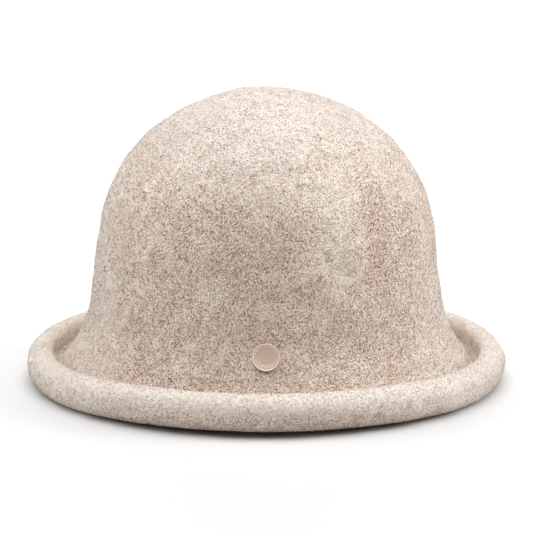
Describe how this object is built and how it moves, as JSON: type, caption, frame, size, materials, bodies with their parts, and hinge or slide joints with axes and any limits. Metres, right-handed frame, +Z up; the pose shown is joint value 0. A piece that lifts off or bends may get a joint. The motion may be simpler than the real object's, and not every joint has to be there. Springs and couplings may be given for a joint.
{
  "type": "cloche hat",
  "caption": "Felt cloche hat with a round bell crown, flared sides, a rolled brim and a small round metal stud low on the front.",
  "frame": {"origin": "on the floor, at the middle of the hat: centre of the underside of the bounding box", "axes": "+Z up through the crown, the front with the stud faces -Y, +X is the wearer's left"},
  "size_m": [0.248, 0.2654, 0.1504],
  "materials": {
    "felt": "matte heathered oatmeal wool felt with a short nap",
    "badge_metal": "satin rose-beige plated metal",
    "tack_metal": "plain satin metal, hidden inside the hat"
  },
  "bodies": {
    "root": {"felt_body": "felt", "badge": "badge_metal", "badge_tack": "tack_metal"}
  },
  "joints": []
}
